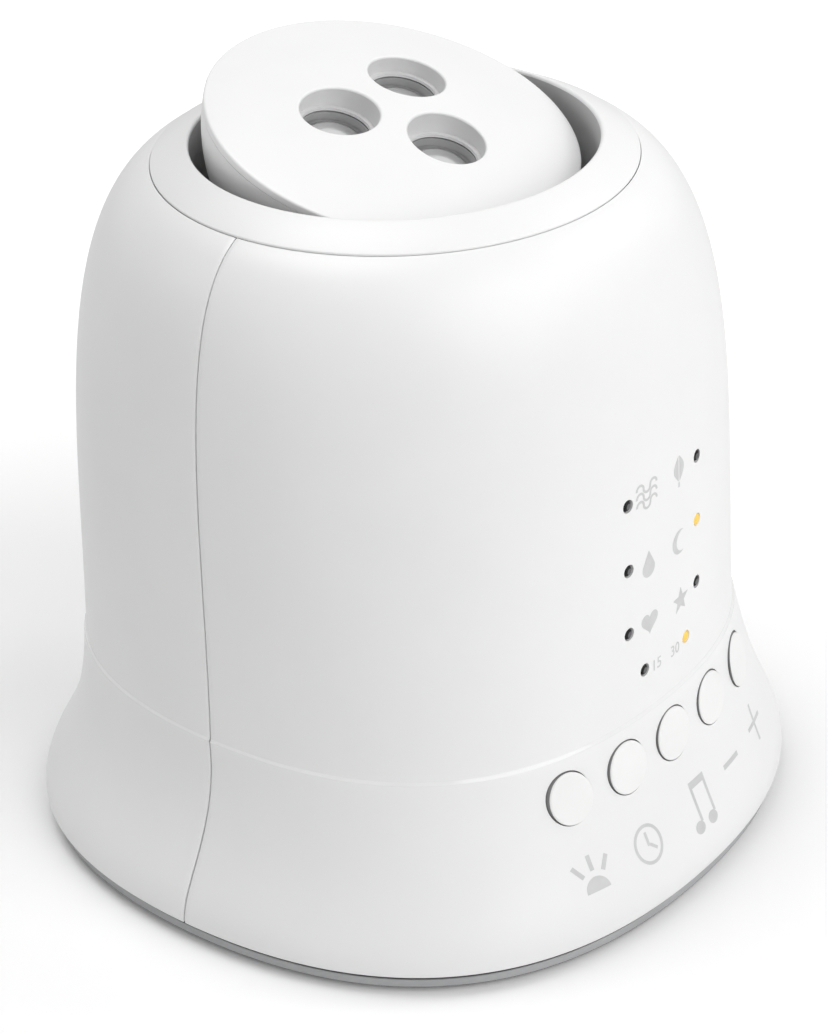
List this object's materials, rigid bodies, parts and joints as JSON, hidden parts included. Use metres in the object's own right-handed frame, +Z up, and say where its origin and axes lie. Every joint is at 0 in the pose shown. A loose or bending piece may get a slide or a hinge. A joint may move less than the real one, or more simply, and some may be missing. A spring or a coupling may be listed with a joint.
{
  "type": "sound machine night light",
  "caption": "Bell-shaped bedside sound machine with push buttons and indicator lamps, and a ball head on top that tilts three night-light lamps.",
  "frame": {"origin": "on the table under the middle of the housing", "axes": "+Z up, front with the buttons towards -Y, +X to the right of the front"},
  "size_m": [0.1484, 0.1466, 0.1558],
  "materials": {
    "shell_white": "satin moulded white ABS",
    "collar_white": "satin moulded white ABS",
    "head_white": "satin moulded white ABS",
    "button_white": "satin moulded white ABS",
    "base_grey": "moulded grey ABS, fine texture",
    "foot_rubber": "soft rubber",
    "socket_plastic": "moulded grey POM",
    "shoe_plastic": "moulded natural POM",
    "screw_steel": "zinc-plated steel",
    "holder_grey": "moulded grey ABS",
    "lens_satin": "moulded acrylic, half-silvered, satin",
    "lamp_clear": "moulded epoxy, pale yellow",
    "board_green": "solder-masked glass epoxy",
    "black_plastic": "moulded black plastic",
    "indicator_dark": "smoked epoxy lens, unlit",
    "indicator_amber": "amber epoxy lens, lit",
    "speaker_steel": "black painted pressed steel",
    "magnet_grey": "ferrite magnet with plated yoke",
    "cone_paper": "pressed paper cone",
    "surround_rubber": "rubber",
    "capacitor_blue": "sleeved aluminium can",
    "ribbon_grey": "PVC ribbon",
    "plug_ivory": "moulded nylon",
    "wire_red": "PVC insulation"
  },
  "bodies": {
    "housing": {"front_shell": "shell_white", "rear_shell": "shell_white", "top_collar": "collar_white", "base_plate": "base_grey", "foot_pads": "foot_rubber", "base_screws": "screw_steel", "head_socket": "socket_plastic", "socket_screws": "screw_steel", "tension_bolt": "screw_steel", "clamp_shoe": "shoe_plastic", "disc_springs": "screw_steel", "tension_nut": "screw_steel", "control_board": "board_green", "control_board_screws": "screw_steel", "button_switches": "black_plastic", "indicator_lights_off": "indicator_dark", "indicator_lights_on": "indicator_amber", "speaker_frame": "speaker_steel", "speaker_magnet": "magnet_grey", "speaker_cone": "cone_paper", "speaker_surround": "surround_rubber", "speaker_dust_cap": "cone_paper", "speaker_gasket": "surround_rubber", "speaker_screws": "screw_steel", "main_board": "board_green", "main_board_screws": "screw_steel", "board_chips": "black_plastic", "capacitors": "capacitor_blue", "power_jack": "black_plastic", "power_jack_pin": "screw_steel", "ribbon_cable": "ribbon_grey", "ribbon_connectors": "plug_ivory", "speaker_leads": "wire_red"},
    "head": {"head_cover": "head_white", "head_bowl": "head_white", "lamp_board": "board_green", "lamp_leds": "lamp_clear", "lamp_holders": "holder_grey", "lamp_lenses": "lens_satin", "head_screws": "screw_steel"},
    "button_light": {"button_light": "button_white", "plunger_light": "black_plastic"},
    "button_timer": {"button_timer": "button_white", "plunger_timer": "black_plastic"},
    "button_sound": {"button_sound": "button_white", "plunger_sound": "black_plastic"},
    "button_volume_down": {"button_volume_down": "button_white", "plunger_volume_down": "black_plastic"},
    "button_volume_up": {"button_volume_up": "button_white", "plunger_volume_up": "black_plastic"}
  },
  "joints": [
    {"name": "head_tilt", "type": "hinge", "parent": "housing", "child": "head", "pos_m": [0, 0, 0.14555], "axis": [1, 0, 0], "range_deg": [-41.5, 8.5]},
    {"name": "press_light", "type": "slide", "parent": "housing", "child": "button_light", "axis": [0, 1, 0], "range_m": [0, 0.0008], "stiffness_N_per_m": 1500},
    {"name": "press_timer", "type": "slide", "parent": "housing", "child": "button_timer", "axis": [0, 1, 0], "range_m": [0, 0.0008], "stiffness_N_per_m": 1500},
    {"name": "press_sound", "type": "slide", "parent": "housing", "child": "button_sound", "axis": [0, 1, 0], "range_m": [0, 0.0008], "stiffness_N_per_m": 1500},
    {"name": "press_volume_down", "type": "slide", "parent": "housing", "child": "button_volume_down", "axis": [0, 1, 0], "range_m": [0, 0.0008], "stiffness_N_per_m": 1500},
    {"name": "press_volume_up", "type": "slide", "parent": "housing", "child": "button_volume_up", "axis": [0, 1, 0], "range_m": [0, 0.0008], "stiffness_N_per_m": 1500}
  ]
}
